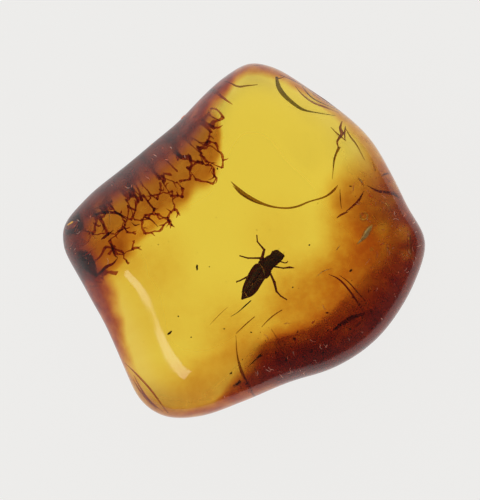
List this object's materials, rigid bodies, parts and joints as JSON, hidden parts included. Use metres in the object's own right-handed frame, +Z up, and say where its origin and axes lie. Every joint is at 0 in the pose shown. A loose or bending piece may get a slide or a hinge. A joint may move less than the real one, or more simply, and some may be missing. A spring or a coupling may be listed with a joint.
{
  "type": "insect in amber",
  "caption": "Small polished nugget of clear golden amber, four-cornered and flat enough underneath to lie still, with an insect sealed inside.",
  "frame": {"origin": "on the resting surface, below the middle of the nugget's outline box", "axes": "+Z up through the polished face, +Y towards the narrow far corner, +X towards the blunt right-hand corner"},
  "size_m": [0.0268, 0.0264, 0.0095],
  "materials": {
    "amber_resin": "clear fossil resin, tumbled and hand polished, with a red-brown weathered rim"
  },
  "bodies": {
    "root": {"amber": "amber_resin"}
  },
  "joints": []
}
